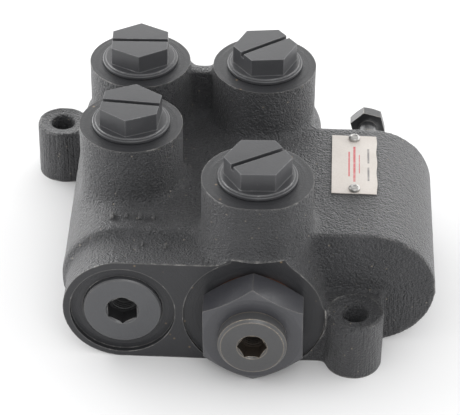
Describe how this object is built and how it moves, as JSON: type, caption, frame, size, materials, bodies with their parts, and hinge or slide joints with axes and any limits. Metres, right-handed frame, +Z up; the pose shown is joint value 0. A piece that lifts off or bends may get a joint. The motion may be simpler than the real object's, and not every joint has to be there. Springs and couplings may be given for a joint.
{
  "type": "hydraulic control valve",
  "caption": "Cast-iron combination hydraulic valve: lugged body, spool bore, relief valve with hexagon cap, round control lobe and capped top ports.",
  "frame": {"origin": "centre of the two mounting holes, on the machined base", "axes": "+Z up out of the ports, -Y out of the machined front face with the relief cap, +X towards the round lobe"},
  "size_m": [0.2386, 0.2193, 0.1186],
  "materials": {
    "cast_body": "satin black coating over sand-cast iron",
    "plug_plastic": "moulded black plastic",
    "black_steel": "black coated turned steel",
    "zinc_steel": "dull zinc plate",
    "ground_steel": "ground",
    "spring_steel": "oil-tempered wire",
    "copper_washer": "dull copper",
    "seal_rubber": "smooth nitrile",
    "plate_aluminium": "painted sheet"
  },
  "bodies": {
    "valve": {"valve_body": "cast_body", "spool_plug_front": "black_steel", "spool_plug_front_seal": "seal_rubber", "spool_plug_rear": "black_steel", "spool_plug_rear_seal": "seal_rubber", "spool_spring": "spring_steel", "relief_cap": "black_steel", "relief_cap_washer": "copper_washer", "relief_cover_plug": "black_steel", "relief_cover_seal": "seal_rubber", "relief_spring": "spring_steel", "relief_seat": "ground_steel", "control_bonnet": "black_steel", "control_bonnet_seal": "seal_rubber", "control_jam_nut": "zinc_steel", "control_spring": "spring_steel", "name_plate": "plate_aluminium", "plate_screws": "zinc_steel"},
    "seal_front_left": {"port_seal_front_left": "seal_rubber"},
    "plug_front_left": {"port_plug_front_left": "plug_plastic"},
    "seal_rear_left": {"port_seal_rear_left": "seal_rubber"},
    "plug_rear_left": {"port_plug_rear_left": "plug_plastic"},
    "seal_front_right": {"port_seal_front_right": "seal_rubber"},
    "plug_front_right": {"port_plug_front_right": "plug_plastic"},
    "seal_rear_right": {"port_seal_rear_right": "seal_rubber"},
    "plug_rear_right": {"port_plug_rear_right": "plug_plastic"},
    "spool": {"priority_spool": "ground_steel"},
    "relief_guide": {"relief_spring_guide": "ground_steel"},
    "relief_screw": {"relief_adjusting_screw": "ground_steel"},
    "poppet": {"relief_poppet": "ground_steel"},
    "control_guide": {"control_spring_guide": "ground_steel"},
    "stem": {"control_stem": "zinc_steel"},
    "piston": {"control_piston": "ground_steel"}
  },
  "joints": [
    {"name": "plug_front_left_lift", "type": "slide", "parent": "valve", "child": "seal_front_left", "axis": [0, 0, 1], "range_m": [0, 0.0148]},
    {"name": "plug_front_left_turn", "type": "hinge", "parent": "seal_front_left", "child": "plug_front_left", "pos_m": [-0.0378, -0.014, 0.105], "axis": [0, 0, 1], "range_deg": [0, 2520]},
    {"name": "plug_rear_left_lift", "type": "slide", "parent": "valve", "child": "seal_rear_left", "axis": [0, 0, 1], "range_m": [0, 0.0148]},
    {"name": "plug_rear_left_turn", "type": "hinge", "parent": "seal_rear_left", "child": "plug_rear_left", "pos_m": [-0.0378, 0.0502, 0.105], "axis": [0, 0, 1], "range_deg": [0, 2520]},
    {"name": "plug_front_right_lift", "type": "slide", "parent": "valve", "child": "seal_front_right", "axis": [0, 0, 1], "range_m": [0, 0.0148]},
    {"name": "plug_front_right_turn", "type": "hinge", "parent": "seal_front_right", "child": "plug_front_right", "pos_m": [0.0344, -0.0622, 0.105], "axis": [0, 0, 1], "range_deg": [0, 2520]},
    {"name": "plug_rear_right_lift", "type": "slide", "parent": "valve", "child": "seal_rear_right", "axis": [0, 0, 1], "range_m": [0, 0.0148]},
    {"name": "plug_rear_right_turn", "type": "hinge", "parent": "seal_rear_right", "child": "plug_rear_right", "pos_m": [0.0344, 0.0492, 0.105], "axis": [0, 0, 1], "range_deg": [0, 2520]},
    {"name": "spool_slide", "type": "slide", "parent": "valve", "child": "spool", "axis": [0, 1, 0], "range_m": [0, 0.012], "stiffness_N_per_m": 1500, "springref_m": -0.01, "deforming": ["spool_spring"]},
    {"name": "relief_guide_travel", "type": "slide", "parent": "valve", "child": "relief_guide", "axis": [0, 1, 0], "range_m": [-0.0025, 0.0038], "deforming": ["relief_spring"]},
    {"name": "relief_screw_turn", "type": "hinge", "parent": "relief_guide", "child": "relief_screw", "pos_m": [0.0344, -0.09, 0.032], "axis": [0, 1, 0], "range_deg": [-720, 1080]},
    {"name": "poppet_lift", "type": "slide", "parent": "valve", "child": "poppet", "axis": [0, -1, 0], "range_m": [0, 0.005], "stiffness_N_per_m": 2000, "springref_m": -0.004, "deforming": ["relief_spring"]},
    {"name": "control_guide_travel", "type": "slide", "parent": "valve", "child": "control_guide", "axis": [0, -1, 0], "range_m": [0, 0.0117], "deforming": ["control_spring"]},
    {"name": "control_stem_turn", "type": "hinge", "parent": "control_guide", "child": "stem", "pos_m": [0.0972, 0.06, 0.0365], "axis": [0, -1, 0], "range_deg": [0, 2160]},
    {"name": "piston_slide", "type": "slide", "parent": "valve", "child": "piston", "axis": [0, 1, 0], "range_m": [0, 0.008], "stiffness_N_per_m": 1500, "springref_m": -0.008, "deforming": ["control_spring"]}
  ],
  "couplings": [
    {"joint": "plug_front_left_turn", "follows": "plug_front_left_lift", "rad_per_m": 2968.4},
    {"joint": "plug_rear_left_turn", "follows": "plug_rear_left_lift", "rad_per_m": 2968.4},
    {"joint": "plug_front_right_turn", "follows": "plug_front_right_lift", "rad_per_m": 2968.4},
    {"joint": "plug_rear_right_turn", "follows": "plug_rear_right_lift", "rad_per_m": 2968.4},
    {"joint": "relief_screw_turn", "follows": "relief_guide_travel", "rad_per_m": 4947.4},
    {"joint": "control_stem_turn", "follows": "control_guide_travel", "rad_per_m": 3215.8}
  ]
}
